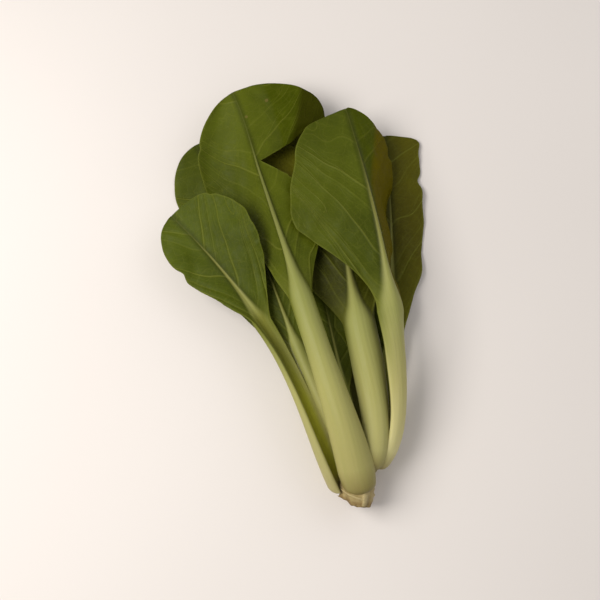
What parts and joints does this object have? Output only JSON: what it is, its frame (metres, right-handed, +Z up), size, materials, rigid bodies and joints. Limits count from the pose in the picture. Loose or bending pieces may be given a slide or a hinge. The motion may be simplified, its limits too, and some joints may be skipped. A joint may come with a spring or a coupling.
{
  "type": "bok choy",
  "caption": "Small head of bok choy lying on its side, with pale fleshy stalks fanning from a cut stem base into broad green leaves.",
  "frame": {"origin": "middle of the underside of the head's bounding box, on the surface that the head lies on", "axes": "+Y from the cut stem end towards the leaf tips, +Z up from the surface, +X to the right seen from the cut end"},
  "size_m": [0.1474, 0.2342, 0.0393],
  "materials": {
    "stem": "moist pale stem flesh with a dried, browned cut face",
    "leaf": "satin living leaf: pale yellow-green ribbed stalk running into a mid-green veined blade"
  },
  "bodies": {
    "root": {"stem_base": "stem", "outer_leaf_left": "leaf", "front_leaf": "leaf", "wide_leaf_right": "leaf", "folded_leaf_right": "leaf", "back_leaf_right": "leaf", "under_leaf_left": "leaf", "inner_leaf_under": "leaf", "heart_leaf_left": "leaf", "heart_leaf_right": "leaf", "heart_leaf_centre": "leaf"}
  },
  "joints": []
}
